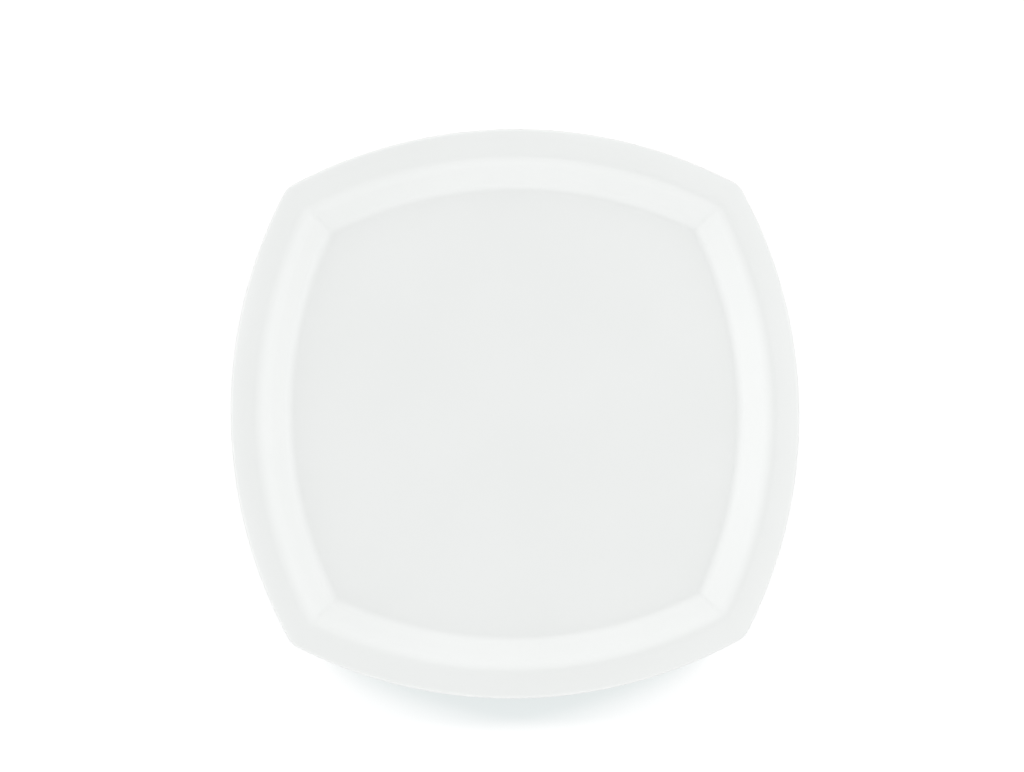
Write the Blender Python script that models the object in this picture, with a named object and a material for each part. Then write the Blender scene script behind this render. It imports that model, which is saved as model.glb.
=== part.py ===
"""Square thali plate: a bowed-square melamine plate with a raised rim and one wide flat well.

The plate comes out of one press mould. The white body charge makes the shell, the lip and the foot ring,
and a thin clear charge pressed over the food face cures onto it as the glaze. Both are lofts through one
family of bowed-square rings, so every step inwards keeps the bow of the sides and the mitred corners.

Metres, +Z up. The food face looks up, and the origin is on the table under the middle of the plate.
"""

import math

import bmesh
import bpy

MM = 0.001

# Outline, seen from above
PLATE_WIDTH = 305.0 * MM  # between the middles of two opposite sides
SIDE_BOW_RADIUS = 254.5 * MM  # each bowed side is one arc
LIP_CORNER_RADIUS = 12.0 * MM
LEAST_CORNER_RADIUS = 2.5 * MM  # kept by the mitred corners of the well

# Food face, in section from the lip to the well
RIM_WIDTH = 12.0 * MM  # from the lip to the crown of the rim
RIM_CROWN_RADIUS = 100.0 * MM  # the rim falls away a little towards the lip
SHOULDER_RADIUS = 15.0 * MM  # rolls over from the crown into the wall
WALL_SLOPE = math.radians(36.0)  # below the horizontal
WELL_FILLET_RADIUS = 10.0 * MM
WELL_DEPTH = 10.0 * MM  # from the crown down to the floor

# Shell, glaze and the foot ring underneath
SHELL_THICKNESS = 3.0 * MM  # glaze included
GLAZE_THICKNESS = 0.4 * MM
BOND_CLEARANCE = 0.3 * MM  # between the glaze and the body that carries it
FOOT_HEIGHT = 2.5 * MM
FOOT_TREAD = 3.0 * MM  # flat width that meets the table
FOOT_SETBACK = 2.0 * MM  # from the edge of the well to the root of the foot
FOOT_DRAFT = math.radians(12.0)
FOOT_EDGE_RADIUS = 0.7 * MM
FOOT_ROOT_RADIUS = 0.8 * MM

# Facets
SIDE_STEPS = 12
CORNER_STEPS = 4
LIP_STEPS = 4
RIM_STEPS = 3
BEND_STEPS = 5
FOOT_STEPS = 2

# Finishes
WHITE_MELAMINE = (0.84, 0.855, 0.847, 1.0)
CLEAR_GLAZE_OVER_WHITE = (0.87, 0.885, 0.877, 1.0)
SATIN = 0.35
GLOSS = 0.12
SHARP_EDGE = math.radians(35.0)  # facets that meet more gently than this are shaded as one surface

# Heights and places that follow from the sizes above
FLOOR_HEIGHT = FOOT_HEIGHT + SHELL_THICKNESS
CROWN_HEIGHT = FLOOR_HEIGHT + WELL_DEPTH
LIP_RADIUS = SHELL_THICKNESS / 2
RIM_LEAN = math.asin((RIM_WIDTH - LIP_RADIUS) / (RIM_CROWN_RADIUS - LIP_RADIUS))
LIP_HEIGHT = CROWN_HEIGHT - RIM_CROWN_RADIUS + (RIM_CROWN_RADIUS - LIP_RADIUS) * math.cos(RIM_LEAN)
BENDS_DROP = (SHOULDER_RADIUS + WELL_FILLET_RADIUS) * (1 - math.cos(WALL_SLOPE))
BENDS_RUN = (SHOULDER_RADIUS + WELL_FILLET_RADIUS) * math.sin(WALL_SLOPE)
WALL_RUN = (WELL_DEPTH - BENDS_DROP) / math.tan(WALL_SLOPE)
WELL_EDGE = RIM_WIDTH + BENDS_RUN + WALL_RUN


def clear_scene():
    for old in list(bpy.data.objects):
        bpy.data.objects.remove(old, do_unlink=True)


def spread(start, end, steps):
    """Even values from start to end, both included."""
    return [start + (end - start) * step / steps for step in range(steps + 1)]


def corner_radius(inset):
    """The lip's corner shrinks as the outline moves in, down to the smallest that the mould has."""
    return max(LIP_CORNER_RADIUS - inset, LEAST_CORNER_RADIUS)


def outline(inset):
    """Points around the bowed square that lies this far inside the lip, anticlockwise from above."""
    side_radius = SIDE_BOW_RADIUS - inset
    fillet = corner_radius(inset)
    bow_centre = SIDE_BOW_RADIUS - PLATE_WIDTH / 2
    # The corner's arc touches both sides from within, and its centre lies on the diagonal
    reach = side_radius - fillet
    corner_at = (math.sqrt(2 * reach**2 - bow_centre**2) - bow_centre) / 2
    side_ends = math.atan2(corner_at, corner_at + bow_centre)

    side = [
        (side_radius * math.cos(turn) - bow_centre, side_radius * math.sin(turn))
        for turn in spread(-side_ends, side_ends, SIDE_STEPS)
    ]
    corner = [
        (corner_at + fillet * math.cos(turn), corner_at + fillet * math.sin(turn))
        for turn in spread(side_ends, math.pi / 2 - side_ends, CORNER_STEPS)
    ]
    quarter = side + corner[1:-1]
    points = []
    for _ in range(4):
        points += quarter
        quarter = [(-y, x) for x, y in quarter]
    return points


def bend(centre, radius, leans):
    """Section points on an arc, as (inset, height, lean of the face away from straight up)."""
    inset, height = centre
    return [(inset + radius * math.sin(lean), height + radius * math.cos(lean), lean) for lean in leans]


def food_face():
    """The finished food face in section, from the top of the lip's round to the edge of the well."""
    rim = bend(
        (RIM_WIDTH, CROWN_HEIGHT - RIM_CROWN_RADIUS),
        RIM_CROWN_RADIUS,
        spread(-RIM_LEAN, 0.0, RIM_STEPS),
    )
    shoulder = bend(
        (RIM_WIDTH, CROWN_HEIGHT - SHOULDER_RADIUS),
        SHOULDER_RADIUS,
        spread(0.0, WALL_SLOPE, BEND_STEPS),
    )
    # Hollow, so the arc lies on the far side of its centre
    fillet = bend(
        (WELL_EDGE, FLOOR_HEIGHT + WELL_FILLET_RADIUS),
        -WELL_FILLET_RADIUS,
        spread(WALL_SLOPE, 0.0, BEND_STEPS),
    )
    return rim + shoulder[1:] + fillet


def lip(radius, start, end):
    """Part of the lip's round, as (inset, height). A lean of -90 degrees is its outermost point."""
    arc = bend((LIP_RADIUS, LIP_HEIGHT), radius, spread(start, end, LIP_STEPS))
    return [(inset, height) for inset, height, _ in arc]


def beneath(face, depth):
    """The section this far below the food face, measured square to it."""
    return [
        (inset - depth * math.sin(lean), height - depth * math.cos(lean)) for inset, height, lean in face
    ]


def foot_ring():
    """The foot ring in section, from its outer root over the tread to its inner root."""
    flank_turn = math.pi / 2 - FOOT_DRAFT
    edge = [
        (FOOT_TREAD / 2 + FOOT_EDGE_RADIUS * math.sin(turn), FOOT_EDGE_RADIUS * (1 - math.cos(turn)))
        for turn in spread(0.0, flank_turn, FOOT_STEPS)
    ]
    edge_end, edge_top = edge[-1]
    root_drop = FOOT_ROOT_RADIUS * (1 - math.cos(flank_turn))
    flank_run = (FOOT_HEIGHT - root_drop - edge_top) * math.tan(FOOT_DRAFT)
    root_centre = edge_end + flank_run + FOOT_ROOT_RADIUS * math.sin(flank_turn)
    root_top = FOOT_HEIGHT - FOOT_ROOT_RADIUS
    root = [
        (root_centre - FOOT_ROOT_RADIUS * math.sin(turn), root_top + FOOT_ROOT_RADIUS * math.cos(turn))
        for turn in spread(flank_turn, 0.0, FOOT_STEPS)
    ]
    half = edge + root
    middle = WELL_EDGE + FOOT_SETBACK + root_centre
    outer = [(middle - aside, height) for aside, height in reversed(half)]
    inner = [(middle + aside, height) for aside, height in half]
    return outer + inner


def loft(name, section, finish):
    """A closed solid: one bowed-square ring for each section point, with both end rings filled."""
    form = bmesh.new()
    rings = []
    for inset, height in section:
        rings.append([form.verts.new((x, y, height)) for x, y in outline(inset)])
    for ring, following in zip(rings, rings[1:]):
        for here in range(len(ring)):
            form.faces.new((ring[here - 1], ring[here], following[here], following[here - 1]))
    for end in (rings[0], rings[-1]):
        form.faces.new(end)
    bmesh.ops.recalc_face_normals(form, faces=form.faces)

    mesh = bpy.data.meshes.new(name)
    form.to_mesh(mesh)
    form.free()
    mesh.materials.append(finish)
    mesh.shade_smooth()
    mesh.set_sharp_from_angle(angle=SHARP_EDGE)
    bpy.context.scene.collection.objects.link(bpy.data.objects.new(name, mesh))


def melamine(name, colour, roughness):
    finish = bpy.data.materials.new(name)
    finish.use_nodes = True
    surface = finish.node_tree.nodes["Principled BSDF"]
    surface.inputs["Base Color"].default_value = colour
    surface.inputs["Roughness"].default_value = roughness
    surface.inputs["Metallic"].default_value = 0.0
    return finish


def moulded_body():
    """Food face under the glaze, a ledge at the parting line, then the bare lip, underside and foot."""
    seat = GLAZE_THICKNESS + BOND_CLEARANCE
    face = food_face()
    glazed_side = list(reversed(beneath(face, seat))) + lip(LIP_RADIUS - seat, -RIM_LEAN, -math.pi / 2)[1:]
    bare_lip = lip(LIP_RADIUS, -math.pi / 2, -math.pi - RIM_LEAN)
    underside = beneath(face, SHELL_THICKNESS)
    loft(
        "moulded_body",
        glazed_side + bare_lip + underside[1:] + foot_ring(),
        melamine("white_melamine", WHITE_MELAMINE, SATIN),
    )


def glaze_overlay():
    """A skin over the whole food face, ending on the lip just above the body's ledge."""
    face = food_face()
    under_lip = LIP_RADIUS - GLAZE_THICKNESS
    end_lean = math.asin(BOND_CLEARANCE / under_lip) - math.pi / 2
    top = list(reversed(beneath(face, 0.0))) + lip(LIP_RADIUS, -RIM_LEAN, end_lean)[1:]
    bond = lip(under_lip, end_lean, -RIM_LEAN)[:-1] + beneath(face, GLAZE_THICKNESS)
    loft(
        "glaze_overlay",
        top + bond,
        melamine("clear_glaze", CLEAR_GLAZE_OVER_WHITE, GLOSS),
    )


clear_scene()
moulded_body()
glaze_overlay()
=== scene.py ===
import math

import bmesh
import bpy
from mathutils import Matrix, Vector


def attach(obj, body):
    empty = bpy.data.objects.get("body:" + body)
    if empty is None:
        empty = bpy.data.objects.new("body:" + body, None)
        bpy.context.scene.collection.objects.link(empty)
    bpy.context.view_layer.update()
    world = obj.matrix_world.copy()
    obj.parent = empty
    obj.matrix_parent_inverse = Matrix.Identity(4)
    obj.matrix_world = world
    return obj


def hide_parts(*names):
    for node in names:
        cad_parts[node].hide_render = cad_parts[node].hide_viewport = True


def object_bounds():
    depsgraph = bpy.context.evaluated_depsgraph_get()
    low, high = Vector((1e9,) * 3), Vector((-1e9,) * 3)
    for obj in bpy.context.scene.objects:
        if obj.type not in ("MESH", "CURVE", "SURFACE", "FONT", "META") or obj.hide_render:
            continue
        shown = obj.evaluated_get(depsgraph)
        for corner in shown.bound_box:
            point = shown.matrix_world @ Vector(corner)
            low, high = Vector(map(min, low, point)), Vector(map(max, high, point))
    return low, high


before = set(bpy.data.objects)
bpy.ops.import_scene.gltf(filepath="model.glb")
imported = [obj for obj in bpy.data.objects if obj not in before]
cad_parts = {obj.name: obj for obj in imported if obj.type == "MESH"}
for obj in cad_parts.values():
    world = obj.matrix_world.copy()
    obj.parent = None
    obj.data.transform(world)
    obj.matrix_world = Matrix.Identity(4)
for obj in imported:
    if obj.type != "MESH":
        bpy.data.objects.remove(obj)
cad_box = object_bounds()

# The moulded body
# White melamine moulding powder, pressed hot in a two-part steel mould, so that shell, lip and foot ring are
# one piece. The glaze covers its food side. The lower lip and the underside keep the mould's satin skin. The
# lip's flash is ground off by hand, and the foot's tread is ground flat.

MM = 0.001
plate_low, plate_high = cad_box
plate_width = plate_high.x - plate_low.x
crown_height = plate_high.z

side_bow_radius = 254.5 * MM
lip_corner_radius = 12.0 * MM
least_corner_radius = 2.5 * MM
corner_shrink = 0.28  # fall of the corner's radius, as a share of the way in from the lip
rim_width = 12.0 * MM
rim_crown_radius = 100.0 * MM
shoulder_radius = 15.0 * MM
wall_slope = math.radians(36.0)
well_fillet_radius = 10.0 * MM
well_depth = 10.0 * MM
shell_thickness = 3.0 * MM
foot_height = crown_height - well_depth - shell_thickness
foot_tread = 3.0 * MM
foot_setback = 2.0 * MM
foot_draft = math.radians(12.0)
foot_edge_radius = 0.7 * MM
foot_root_radius = 0.8 * MM
glaze_thickness = 0.4 * MM
bond_line = 0.02 * MM  # the glaze is cured on, so the joint is no more than a hairline at the lip
melamine_ior = 1.6

floor_height = foot_height + shell_thickness
lip_radius = shell_thickness / 2
rim_lean = math.asin((rim_width - lip_radius) / (rim_crown_radius - lip_radius))
lip_height = crown_height - rim_crown_radius + (rim_crown_radius - lip_radius) * math.cos(rim_lean)
bend_radii = shoulder_radius + well_fillet_radius
wall_run = (well_depth - bend_radii * (1 - math.cos(wall_slope))) / math.tan(wall_slope)
well_edge = rim_width + bend_radii * math.sin(wall_slope) + wall_run

plate_sides = 4
side_steps = 72
corner_steps = 18
bend_steps = 18
lip_steps = 12
rim_steps = 12
foot_steps = 5
wall_shares = (0.05, 0.35, 0.65, 0.95)  # rings on the straight of the wall, as shares of its run
floor_draws = (0.004, 0.012, 0.05, 0.25, 0.5, 0.75, 1.0)  # rings on a flat floor, as shares of the way in
sharp_edge = math.radians(40.0)
sewing_distance = 0.001 * MM


def spread(start, end, steps):
    """Even values from start to end, both included."""
    return [start + (end - start) * step / steps for step in range(steps + 1)]


def bend(inset, height, radius, leans):
    """Section points on an arc, as (inset from the lip, height, lean of the face from straight up)."""
    return [(inset + radius * math.sin(lean), height + radius * math.cos(lean), lean) for lean in leans]


def food_face():
    """The finished food face in section, from the top of the lip's round to the edge of the well."""
    rim_turns = spread(-rim_lean, 0, rim_steps)
    rim = bend(rim_width, crown_height - rim_crown_radius, rim_crown_radius, rim_turns)
    shoulder_turns = spread(0, wall_slope, bend_steps)
    shoulder = bend(rim_width, crown_height - shoulder_radius, shoulder_radius, shoulder_turns)
    # The fillet is hollow, so its arc lies on the far side of its centre
    fillet_turns = spread(wall_slope, 0, bend_steps)
    fillet = bend(well_edge, floor_height + well_fillet_radius, -well_fillet_radius, fillet_turns)
    wall_top, wall_foot = Vector(shoulder[-1]), Vector(fillet[0])
    wall = [tuple(wall_top.lerp(wall_foot, share)) for share in wall_shares]
    return rim + shoulder[1:] + wall + fillet


def beneath(face, depth):
    """The section this far below the food face, measured square to it."""
    return [
        (inset - depth * math.sin(lean), height - depth * math.cos(lean)) for inset, height, lean in face
    ]


def lip_round(radius, start, end):
    """Part of the lip's round, as (inset, height). A lean of -90 degrees is its outermost point."""
    return [point[:2] for point in bend(lip_radius, lip_height, radius, spread(start, end, lip_steps))]


def foot_ring():
    """The foot ring in section, from its outer root over the tread to its inner root."""
    flank_turn = math.pi / 2 - foot_draft
    edge = [
        (foot_tread / 2 + foot_edge_radius * math.sin(turn), foot_edge_radius * (1 - math.cos(turn)))
        for turn in spread(0, flank_turn, foot_steps)
    ]
    edge_end, edge_top = edge[-1]
    root_drop = foot_root_radius * (1 - math.cos(flank_turn))
    flank_run = (foot_height - root_drop - edge_top) * math.tan(foot_draft)
    root_centre = edge_end + flank_run + foot_root_radius * math.sin(flank_turn)
    root_top = foot_height - foot_root_radius
    root = [
        (root_centre - foot_root_radius * math.sin(turn), root_top + foot_root_radius * math.cos(turn))
        for turn in spread(flank_turn, 0, foot_steps)
    ]
    half = edge + root
    middle = well_edge + foot_setback + root_centre
    outer = [(middle - aside, height) for aside, height in reversed(half)]
    inner = [(middle + aside, height) for aside, height in half]
    return outer + inner


def section_object(name, section):
    """A chain of points for the loft: x is the inset, z the height, y how far the ring is drawn to the
    middle. Both ends are drawn right in, which closes the floors there."""
    first_inset, first_height = section[0]
    last_inset, last_height = section[-1]
    chain = [(first_inset, draw, first_height) for draw in reversed(floor_draws)]
    chain += [(inset, 0.0, height) for inset, height in section]
    chain += [(last_inset, draw, last_height) for draw in floor_draws]
    mesh = bpy.data.meshes.new(name)
    mesh.from_pydata(chain, [(step, step + 1) for step in range(len(chain) - 1)], [])
    piece = bpy.data.objects.new(name, mesh)
    bpy.context.scene.collection.objects.link(piece)
    return piece


def add_node(tree, kind, inputs, **settings):
    """A node with its settings made, and each named or numbered input linked or set. Gives its outputs."""
    node = tree.nodes.new(kind)
    for setting, value in settings.items():
        setattr(node, setting, value)
    for key, value in inputs.items():
        if isinstance(value, bpy.types.NodeSocket):
            tree.links.new(value, node.inputs[key])
        else:
            node.inputs[key].default_value = value
    return node.outputs


def calc(tree, operation, *values):
    """The result of one Math node."""
    return add_node(tree, "ShaderNodeMath", dict(enumerate(values)), operation=operation)[0]


def new_tree(name, kind, inputs, outputs):
    """An empty node tree with these sockets, its group input's sockets, and its output node's sockets."""
    tree = bpy.data.node_groups.new(name, kind)
    for sockets, way in ((inputs, "INPUT"), (outputs, "OUTPUT")):
        for label, socket in sockets.items():
            tree.interface.new_socket(label, in_out=way, socket_type="NodeSocket" + socket)
    return tree, tree.nodes.new("NodeGroupInput").outputs, tree.nodes.new("NodeGroupOutput").inputs


def bowed_square_loft():
    """Geometry Nodes tree: sweeps a section round the plate, with one bowed square for each point."""
    tree, sizes, made = new_tree(
        "bowed_square_loft",
        "GeometryNodeTree",
        {
            "Section": "Geometry",
            "Plate Width": "Float",
            "Side Bow Radius": "Float",
            "Lip Corner Radius": "Float",
            "Least Corner Radius": "Float",
            "Corner Shrink": "Float",
            "Side Steps": "Int",
            "Corner Steps": "Int",
            "Finish": "Material",
        },
        {"Plate": "Geometry"},
    )
    quarter_turn = math.tau / plate_sides
    half_step = 0.5  # keeps whole numbers clear of rounding

    def pick(when, yes, no):
        switch = {"Switch": when, "True": yes, "False": no}
        return add_node(tree, "GeometryNodeSwitch", switch, input_type="FLOAT")[0]

    # One grid column for each step round the plate, one row for each point of the section
    rows = add_node(tree, "GeometryNodeAttributeDomainSize", {0: sizes["Section"]})["Point Count"]
    steps = calc(tree, "ADD", sizes["Side Steps"], sizes["Corner Steps"])
    columns = calc(tree, "MULTIPLY_ADD", steps, plate_sides, 1)
    grid = add_node(tree, "GeometryNodeMeshGrid", {"Vertices X": columns, "Vertices Y": rows})["Mesh"]
    index = add_node(tree, "GeometryNodeInputIndex", {})[0]
    column = calc(tree, "FLOOR", calc(tree, "DIVIDE", calc(tree, "ADD", index, half_step), rows))
    row = calc(tree, "SUBTRACT", index, calc(tree, "MULTIPLY", column, rows))
    quarter = calc(tree, "FLOOR", calc(tree, "DIVIDE", calc(tree, "ADD", column, half_step), steps))
    step = calc(tree, "SUBTRACT", column, calc(tree, "MULTIPLY", quarter, steps))

    position = add_node(tree, "GeometryNodeInputPosition", {})[0]
    sample = {"Geometry": sizes["Section"], "Value": position, "Index": row}
    point = add_node(tree, "GeometryNodeSampleIndex", sample, data_type="FLOAT_VECTOR")[0]
    inset, draw, height = add_node(tree, "ShaderNodeSeparateXYZ", {0: point})

    # The side arcs keep their centres as the outline moves in, and the corner arcs shrink slowly to a mitre
    half_width = calc(tree, "DIVIDE", sizes["Plate Width"], 2)
    bow_centre = calc(tree, "SUBTRACT", sizes["Side Bow Radius"], half_width)
    side_radius = calc(tree, "SUBTRACT", sizes["Side Bow Radius"], inset)
    shrinkage = calc(tree, "MULTIPLY", inset, sizes["Corner Shrink"])
    shrunk_corner = calc(tree, "SUBTRACT", sizes["Lip Corner Radius"], shrinkage)
    corner_radius = calc(tree, "MAXIMUM", shrunk_corner, sizes["Least Corner Radius"])
    reach = calc(tree, "SUBTRACT", side_radius, corner_radius)
    twice_reach_squared = calc(tree, "MULTIPLY", calc(tree, "POWER", reach, 2), 2)
    bow_squared = calc(tree, "POWER", bow_centre, 2)
    diagonal = calc(tree, "SQRT", calc(tree, "SUBTRACT", twice_reach_squared, bow_squared))
    corner_at = calc(tree, "DIVIDE", calc(tree, "SUBTRACT", diagonal, bow_centre), 2)
    side_end = calc(tree, "ARCTAN2", corner_at, calc(tree, "ADD", corner_at, bow_centre))

    on_side = calc(tree, "LESS_THAN", step, calc(tree, "ADD", sizes["Side Steps"], half_step))
    side_share = calc(tree, "DIVIDE", step, sizes["Side Steps"])
    side_turn = calc(tree, "MULTIPLY", side_end, calc(tree, "MULTIPLY_ADD", side_share, 2, -1))
    corner_step = calc(tree, "SUBTRACT", step, sizes["Side Steps"])
    corner_share = calc(tree, "DIVIDE", corner_step, sizes["Corner Steps"])
    corner_span = calc(tree, "SUBTRACT", quarter_turn, calc(tree, "MULTIPLY", side_end, 2))
    corner_turn = calc(tree, "MULTIPLY_ADD", corner_span, corner_share, side_end)
    turn = pick(on_side, side_turn, corner_turn)
    radius = pick(on_side, side_radius, corner_radius)
    centre_x = pick(on_side, calc(tree, "MULTIPLY", bow_centre, -1), corner_at)
    centre_y = pick(on_side, 0.0, corner_at)
    x = calc(tree, "MULTIPLY_ADD", radius, calc(tree, "COSINE", turn), centre_x)
    y = calc(tree, "MULTIPLY_ADD", radius, calc(tree, "SINE", turn), centre_y)

    kept = calc(tree, "SUBTRACT", 1, draw)
    drawn_x = calc(tree, "MULTIPLY", x, kept)
    drawn_y = calc(tree, "MULTIPLY", y, kept)
    place = add_node(tree, "ShaderNodeCombineXYZ", {"X": drawn_x, "Y": drawn_y, "Z": height})[0]
    angle = calc(tree, "MULTIPLY", quarter, quarter_turn)
    turning = {"Vector": place, "Angle": angle}
    turned = add_node(tree, "ShaderNodeVectorRotate", turning, rotation_type="Z_AXIS")[0]

    swept = add_node(tree, "GeometryNodeSetPosition", {"Geometry": grid, "Position": turned})[0]
    sewing = {"Geometry": swept, "Distance": sewing_distance}
    sewn = add_node(tree, "GeometryNodeMergeByDistance", sewing)[0]
    real = add_node(tree, "GeometryNodeRealizeInstances", {0: sewn})[0]
    coated = {"Geometry": real, "Material": sizes["Finish"]}
    tree.links.new(add_node(tree, "GeometryNodeSetMaterial", coated)[0], made["Plate"])
    return tree


def pressed_piece(name, section, finish):
    """Runs the loft on a section and keeps the result as a plain mesh."""
    piece = section_object(name, section)
    modifier = piece.modifiers.new("loft", "NODES")
    modifier.node_group = plate_loft
    values = {
        "Plate Width": plate_width,
        "Side Bow Radius": side_bow_radius,
        "Lip Corner Radius": lip_corner_radius,
        "Least Corner Radius": least_corner_radius,
        "Corner Shrink": corner_shrink,
        "Side Steps": side_steps,
        "Corner Steps": corner_steps,
        "Finish": finish,
    }
    for socket in plate_loft.interface.items_tree:
        if socket.name in values:
            modifier[socket.identifier] = values[socket.name]
    drawn = piece.evaluated_get(bpy.context.evaluated_depsgraph_get())
    mesh = bpy.data.meshes.new_from_object(drawn)
    piece.modifiers.clear()
    chain = piece.data
    piece.data = mesh
    bpy.data.meshes.remove(chain)
    mesh.name = name
    form = bmesh.new()
    form.from_mesh(mesh)
    bmesh.ops.recalc_face_normals(form, faces=form.faces)
    form.to_mesh(mesh)
    form.free()
    mesh.shade_smooth()
    mesh.set_sharp_from_angle(angle=sharp_edge)
    return piece


def noise(tree, place, size, detail):
    """Smooth noise with features of about this size, from 0 to 1."""
    scale = calc(tree, "DIVIDE", 1, size)
    cloud = {"Vector": place, "Scale": scale, "Detail": detail}
    return add_node(tree, "ShaderNodeTexNoise", cloud)["Fac"]


def ramp(tree, value, start, end, low, high):
    """The value carried smoothly from the range start to end over to the range low to high."""
    spans = {"Value": value, "From Min": start, "From Max": end, "To Min": low, "To Max": high}
    return add_node(tree, "ShaderNodeMapRange", spans, interpolation_type="SMOOTHSTEP")[0]


# A Mix node has sockets of the same names for each type, so the two helpers below take them by number
def mix_numbers(tree, share, first, second):
    """The first number at share 0, the second at share 1."""
    return add_node(tree, "ShaderNodeMix", {0: share, 2: first, 3: second}, data_type="FLOAT")[0]


def mix_colours(tree, share, first, second):
    """The first colour at share 0, the second at share 1."""
    return add_node(tree, "ShaderNodeMix", {0: share, 6: first, 7: second}, data_type="RGBA")[2]


def pressed_melamine():
    """Shader group: the faint clouds and specks of a cured powder, its uneven polish and its flow waves."""
    tree, given, result = new_tree(
        "pressed_melamine",
        "ShaderNodeTree",
        {
            "Place": "Vector",
            "Pale": "Color",
            "Deep": "Color",
            "Cloud Size": "Float",
            "Speck Size": "Float",
            "Speck Share": "Float",
            "Smoothest": "Float",
            "Dullest": "Float",
            "Polish Size": "Float",
            "Wave Size": "Float",
        },
        {"Colour": "Color", "Roughness": "Float", "Height": "Float"},
    )
    middle_low, middle_high = 0.3, 0.7  # where most of the noise lies
    speck_low, speck_high = 0.66, 0.78  # only its peaks show as specks
    cloud_detail, speck_detail, polish_detail, wave_detail = 3.0, 1.0, 4.0, 2.0
    clouds = noise(tree, given["Place"], given["Cloud Size"], cloud_detail)
    specks = noise(tree, given["Place"], given["Speck Size"], speck_detail)
    tone = ramp(tree, clouds, middle_low, middle_high, 0.0, 1.0)
    speck = calc(tree, "MULTIPLY", ramp(tree, specks, speck_low, speck_high, 0.0, 1.0), given["Speck Share"])
    depth = calc(tree, "MAXIMUM", tone, speck)
    tree.links.new(mix_colours(tree, depth, given["Pale"], given["Deep"]), result["Colour"])
    polish = noise(tree, given["Place"], given["Polish Size"], polish_detail)
    roughness = ramp(tree, polish, middle_low, middle_high, given["Smoothest"], given["Dullest"])
    tree.links.new(roughness, result["Roughness"])
    tree.links.new(noise(tree, given["Place"], given["Wave Size"], wave_detail), result["Height"])
    return tree


def ground_band():
    """Shader group: a level band that was ground after pressing, with ragged edges and fine marks.
    Flatness is 0 for a band on an upright face and 1 for one on a face that lies flat."""
    tree, given, result = new_tree(
        "ground_band",
        "ShaderNodeTree",
        {
            "Place": "Vector",
            "Normal": "Vector",
            "Level": "Float",
            "Flatness": "Float",
            "Half Width": "Float",
            "Grit Size": "Float",
        },
        {"Ground": "Float", "Marks": "Float"},
    )
    grit_detail = 3.0
    ragged = 0.8  # how far the edge wanders, in half widths
    edge_start, edge_end = 0.6, 1.4  # where the band's edge begins and ends, in half widths
    turn_start, turn_end = 0.4, 0.7  # how far a face may turn from the band's own before the band stops
    height = add_node(tree, "ShaderNodeSeparateXYZ", {0: given["Place"]})["Z"]
    away = calc(tree, "ABSOLUTE", calc(tree, "SUBTRACT", height, given["Level"]))
    grit = noise(tree, given["Place"], given["Grit Size"], grit_detail)
    wander = calc(tree, "MULTIPLY", calc(tree, "MULTIPLY", grit, ragged), given["Half Width"])
    reached = calc(tree, "DIVIDE", calc(tree, "ADD", away, wander), given["Half Width"])
    band = ramp(tree, reached, edge_start, edge_end, 1.0, 0.0)
    flat = calc(tree, "ABSOLUTE", add_node(tree, "ShaderNodeSeparateXYZ", {0: given["Normal"]})["Z"])
    turned = calc(tree, "ABSOLUTE", calc(tree, "SUBTRACT", flat, given["Flatness"]))
    on_face = ramp(tree, turned, turn_start, turn_end, 1.0, 0.0)
    tree.links.new(calc(tree, "MULTIPLY", band, on_face), result["Ground"])
    tree.links.new(grit, result["Marks"])
    return tree


def principled(name):
    """A new material, its tree, its Principled shader's inputs, and the piece's own place and normal."""
    finish = bpy.data.materials.new(name)
    finish.use_nodes = True
    tree = finish.node_tree
    where = add_node(tree, "ShaderNodeTexCoord", {})
    return finish, tree, tree.nodes["Principled BSDF"].inputs, where["Object"], where["Normal"]


def grouped(tree, group, inputs):
    """One use of a shader group, with its named inputs linked or set."""
    return add_node(tree, "ShaderNodeGroup", inputs, node_tree=group)


def ground_flash(tree, place, normal):
    """How far a face lies in the band round the lip where the flash at the parting line was ground off."""
    flash = grouped(
        tree,
        ground_look,
        {
            "Place": place,
            "Normal": normal,
            "Level": lip_height,
            "Flatness": 0.0,
            "Half Width": 0.45 * MM,
            "Grit Size": 0.5 * MM,
        },
    )
    return flash["Ground"]


def satin_melamine():
    """The bare body: satin where the mould pressed it, dull and scratched where it was ground."""
    finish, tree, surface, place, normal = principled("white_melamine")
    surface["IOR"].default_value = melamine_ior
    pressed = grouped(
        tree,
        melamine_look,
        {
            "Place": place,
            "Pale": (0.835, 0.850, 0.842, 1.0),
            "Deep": (0.815, 0.831, 0.822, 1.0),
            "Cloud Size": 45.0 * MM,
            "Speck Size": 0.7 * MM,
            "Speck Share": 0.8,
            "Smoothest": 0.28,
            "Dullest": 0.40,
            "Polish Size": 18.0 * MM,
            "Wave Size": 9.0 * MM,
        },
    )
    ground_tread = grouped(
        tree,
        ground_look,
        {
            "Place": place,
            "Normal": normal,
            "Level": 0.0,
            "Flatness": 1.0,
            "Half Width": 0.35 * MM,
            "Grit Size": 0.9 * MM,
        },
    )
    ground = calc(tree, "MAXIMUM", ground_tread["Ground"], ground_flash(tree, place, normal))
    ground_colour = (0.76, 0.775, 0.768, 1.0)
    ground_roughness = 0.62
    wave_depth = 0.006 * MM
    grit_depth = 0.02 * MM
    tree.links.new(mix_colours(tree, ground, pressed["Colour"], ground_colour), surface["Base Color"])
    tree.links.new(mix_numbers(tree, ground, pressed["Roughness"], ground_roughness), surface["Roughness"])
    waves = add_node(tree, "ShaderNodeBump", {"Height": pressed["Height"], "Distance": wave_depth})["Normal"]
    marks = calc(tree, "MULTIPLY", ground_tread["Marks"], ground)
    scratched = {"Height": marks, "Distance": grit_depth, "Normal": waves}
    tree.links.new(add_node(tree, "ShaderNodeBump", scratched)["Normal"], surface["Normal"])
    return finish


plate_loft = bowed_square_loft()
melamine_look = pressed_melamine()
ground_look = ground_band()

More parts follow.
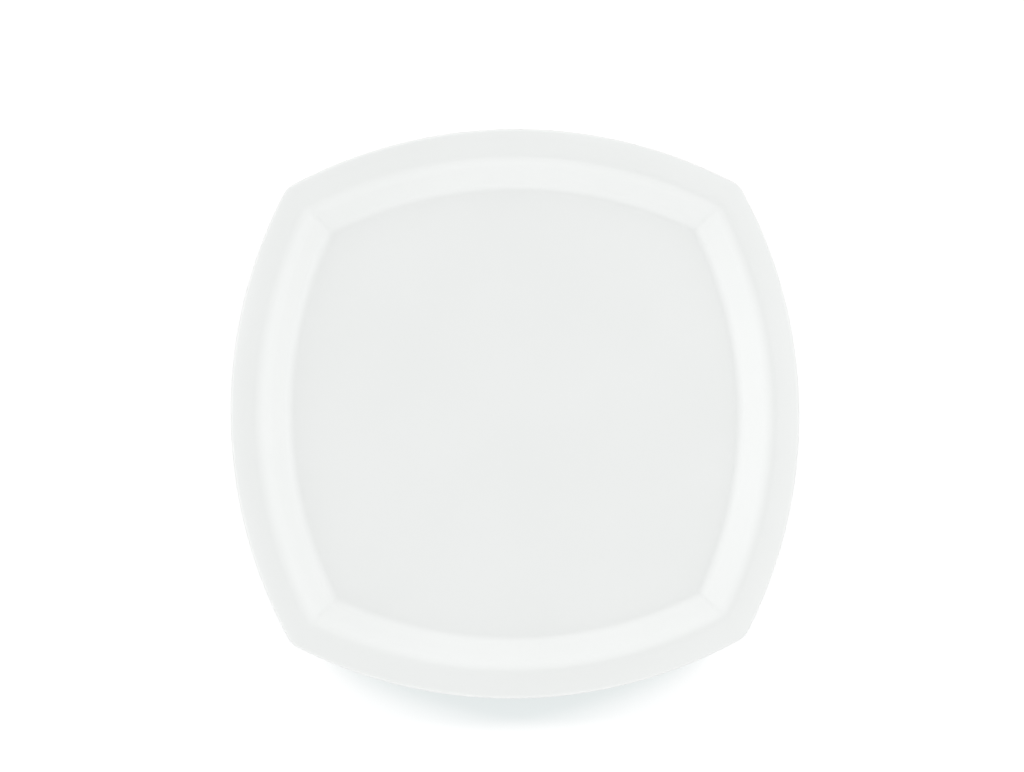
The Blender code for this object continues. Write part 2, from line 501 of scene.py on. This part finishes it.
under_glaze = glaze_thickness + bond_line
body_section = list(reversed(beneath(food_face(), under_glaze)))
body_section += lip_round(lip_radius - under_glaze, -rim_lean, -math.pi / 2)[1:]
body_section += lip_round(lip_radius, -math.pi / 2, -math.pi - rim_lean)
body_section += beneath(food_face(), shell_thickness)[1:]
body_section += foot_ring()
body = pressed_piece("plate_body", body_section, satin_melamine())
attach(body, "root")
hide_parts("moulded_body")

# The glaze
# A thin charge of clear melamine resin, pressed over the food face in the mould's second stroke. It cures
# onto the body, takes the polish of the mould's upper half and ends at the parting line, half way down the
# lip, where its flash was ground off with the body's.


def polished_glaze():
    """The food face: the body's white seen through the clear glaze, glossy with a slow flow in the gloss.
    The gloss softens where a face is seen along its plane, so the shoulder stays clean in low views."""
    finish, tree, surface, place, normal = principled("clear_glaze")
    surface["IOR"].default_value = melamine_ior
    pressed = grouped(
        tree,
        melamine_look,
        {
            "Place": place,
            "Pale": (0.845, 0.860, 0.852, 1.0),
            "Deep": (0.834, 0.850, 0.841, 1.0),
            "Cloud Size": 60.0 * MM,
            "Speck Size": 0.6 * MM,
            "Speck Share": 0.6,
            "Smoothest": 0.10,
            "Dullest": 0.14,
            "Polish Size": 30.0 * MM,
            "Wave Size": 14.0 * MM,
        },
    )
    ground = ground_flash(tree, place, normal)
    ground_roughness = 0.5
    grazing_roughness = 0.35
    graze_start, graze_full = 0.58, 0.72  # 0 for a face seen square on, 1 for one seen along its plane
    wave_depth = 0.005 * MM
    tree.links.new(pressed["Colour"], surface["Base Color"])
    polish = mix_numbers(tree, ground, pressed["Roughness"], ground_roughness)
    facing = add_node(tree, "ShaderNodeLayerWeight", {})["Facing"]
    graze = ramp(tree, facing, graze_start, graze_full, 0.0, grazing_roughness)
    tree.links.new(calc(tree, "MAXIMUM", polish, graze), surface["Roughness"])
    waves = {"Height": pressed["Height"], "Distance": wave_depth}
    tree.links.new(add_node(tree, "ShaderNodeBump", waves)["Normal"], surface["Normal"])
    return finish


glaze_end = math.asin(bond_line / (lip_radius - glaze_thickness)) - math.pi / 2
glaze_section = list(reversed(beneath(food_face(), 0.0)))
glaze_section += lip_round(lip_radius, -rim_lean, glaze_end)[1:]
glaze_section += lip_round(lip_radius - glaze_thickness, glaze_end, -rim_lean)[:-1]
glaze_section += beneath(food_face(), glaze_thickness)
glaze = pressed_piece("plate_glaze", glaze_section, polished_glaze())
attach(glaze, "root")
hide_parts("glaze_overlay")

# The floor
# A wide sheet of white acrylic, lit evenly from below, that the plate lies on. It looks white, with the
# plate's shadow on it. Light on its way to the plate meets a plain grey floor instead, so that the sheet's
# glow doesn't fill the shading of the plate.

floor_reach = 6.0  # from the middle to a corner
floor_drop = 0.2 * MM
floor_pale = (0.10, 0.10, 0.10, 1.0)  # what it scatters of the light from the tent and the lamps
floor_glow = (0.945, 1.0, 1.0, 1.0)  # the light that comes through from below
glow_level = 0.75
floor_bounce = (0.152, 0.17, 0.17, 1.0)  # the grey that the plate's light meets
floor_mesh = bpy.data.meshes.new("floor")
floor_turns = spread(0.0, math.tau, plate_sides)[:-1]
floor_corners = [
    (floor_reach * math.cos(turn), floor_reach * math.sin(turn), -floor_drop) for turn in floor_turns
]
floor_mesh.from_pydata(floor_corners, [], [range(plate_sides)])
floor = bpy.data.objects.new("floor", floor_mesh)
bpy.context.scene.collection.objects.link(floor)

white_acrylic = bpy.data.materials.new("white_acrylic")
white_acrylic.use_nodes = True
tree = white_acrylic.node_tree
tree.nodes.remove(tree.nodes["Principled BSDF"])
rays = add_node(tree, "ShaderNodeLightPath", {})
mirrored = calc(tree, "MAXIMUM", rays["Is Glossy Ray"], rays["Is Transmission Ray"])
looked_at = calc(tree, "MAXIMUM", rays["Is Camera Ray"], mirrored)
bounce = add_node(tree, "ShaderNodeBsdfDiffuse", {"Color": floor_bounce})[0]
pale = add_node(tree, "ShaderNodeBsdfDiffuse", {"Color": floor_pale})[0]
glow = add_node(tree, "ShaderNodeEmission", {"Color": floor_glow, "Strength": glow_level})[0]
seen = add_node(tree, "ShaderNodeAddShader", {0: pale, 1: glow})[0]
sheet = add_node(tree, "ShaderNodeMixShader", {0: looked_at, 1: bounce, 2: seen})[0]
tree.links.new(sheet, tree.nodes["Material Output"].inputs["Surface"])
floor_mesh.materials.append(white_acrylic)

# The light
# A white cloth tent with one lit panel on each side. It fades towards its top, where the camera looks in
# through a dark slit. Two low soft lamps reach only the floor: they leave the plate's shadow in front of it.

cloth_white = (1.0, 1.0, 1.0, 1.0)
cloth_level = 0.9
skirt_level = 1.0  # all round the foot of the tent
left_panel = 1.017
right_panel = 0.863
far_panel = 0.6
near_panel = 0.493
top_level = 0.164
slit_level = 0.0
# Upward parts of a direction, where the skirt ends and the panels begin
skirt_high, skirt_end = 0.09, 0.16
panel_foot, panel_full = 0.1, 0.4
# Sideways parts of a direction: how far the top reaches down, and the slit with its soft hems
top_reach = 0.85
slit_middle = -0.02
slit_half_width, width_hem_end = 0.09, 0.18
slit_half_length, length_hem_end = 0.25, 0.425

tent = bpy.data.worlds.new("tent")
bpy.context.scene.world = tent
tent.use_nodes = True
tree = tent.node_tree
direction = add_node(tree, "ShaderNodeTexCoord", {})["Generated"]
east, north, up = add_node(tree, "ShaderNodeSeparateXYZ", {0: direction})
across = mix_numbers(tree, calc(tree, "GREATER_THAN", east, 0.0), left_panel, right_panel)
along = mix_numbers(tree, calc(tree, "GREATER_THAN", north, 0.0), near_panel, far_panel)
east_squared = calc(tree, "MULTIPLY", east, east)
aside_squared = calc(tree, "ADD", east_squared, calc(tree, "MULTIPLY", north, north))
# From 1 straight to the left or right, over 0 at the tent's corners, to -1 straight to the near or far side
facing = calc(tree, "MULTIPLY_ADD", calc(tree, "DIVIDE", east_squared, aside_squared), 2.0, -1.0)
to_sides = calc(tree, "MULTIPLY", calc(tree, "MAXIMUM", facing, 0.0), across)
to_ends = calc(tree, "MULTIPLY", calc(tree, "MINIMUM", facing, 0.0), along)
panels = calc(tree, "SUBTRACT", to_sides, to_ends)
panel_rise = ramp(tree, up, panel_foot, panel_full, 0.0, 1.0)
cloth = ramp(tree, up, skirt_high, skirt_end, skirt_level, cloth_level)
sides = calc(tree, "MULTIPLY_ADD", panels, panel_rise, cloth)
fade = ramp(tree, calc(tree, "SQRT", aside_squared), 0.0, top_reach, 0.0, 1.0)
closed_tent = mix_numbers(tree, fade, top_level, sides)
from_middle = calc(tree, "ABSOLUTE", calc(tree, "SUBTRACT", east, slit_middle))
in_width = ramp(tree, from_middle, slit_half_width, width_hem_end, 1.0, 0.0)
in_length = ramp(tree, calc(tree, "ABSOLUTE", north), slit_half_length, length_hem_end, 1.0, 0.0)
in_slit = calc(tree, "MULTIPLY", in_width, in_length)
background = tree.nodes["Background"].inputs
background["Color"].default_value = cloth_white
tree.links.new(mix_numbers(tree, in_slit, closed_tent, slit_level), background["Strength"])

floor_light = 2.25  # from each lamp, in shares of what makes a white surface white
lamp_height = math.radians(13.2)
lamp_swing = math.radians(56.0)  # away from the far side
lamp_spread = math.radians(31.0)
lamp_colour = (1.0, 0.85, 0.85)
floor_only = bpy.data.collections.new("floor_only")
floor_only.objects.link(floor)
for name, swing in (("left_lamp", lamp_swing), ("right_lamp", -lamp_swing)):
    lamp = bpy.data.lights.new(name, "SUN")
    lamp.angle = lamp_spread
    lamp.color = lamp_colour
    lamp.energy = floor_light * math.pi / math.sin(lamp_height)
    stand = bpy.data.objects.new(name, lamp)
    stand.rotation_euler = (lamp_height - math.pi / 2, 0.0, swing)
    stand.light_linking.receiver_collection = floor_only
    bpy.context.scene.collection.objects.link(stand)

# The camera
# A long lens that looks almost straight down on the food face, from a little to the left of its middle. Its
# place and its turns were fitted to the plate's outline in the photograph.

camera_over_lip = 1.59471
camera_east, camera_north = -0.1102, -0.00043
camera_turns = (0.5854, -3.8606, -0.6633)  # about X, Y and Z, in degrees
sensor_width, focal_length = 36.0, 105.0  # in millimetres
camera_data = bpy.data.cameras.new("camera")
camera_data.sensor_width = sensor_width
camera_data.lens = focal_length
camera = bpy.data.objects.new("camera", camera_data)
camera.location = (camera_east, camera_north, lip_height + camera_over_lip)
camera.rotation_euler = [math.radians(turn) for turn in camera_turns]
bpy.context.scene.collection.objects.link(camera)
bpy.context.scene.camera = camera

bpy.context.scene.view_settings.view_transform = "Standard"
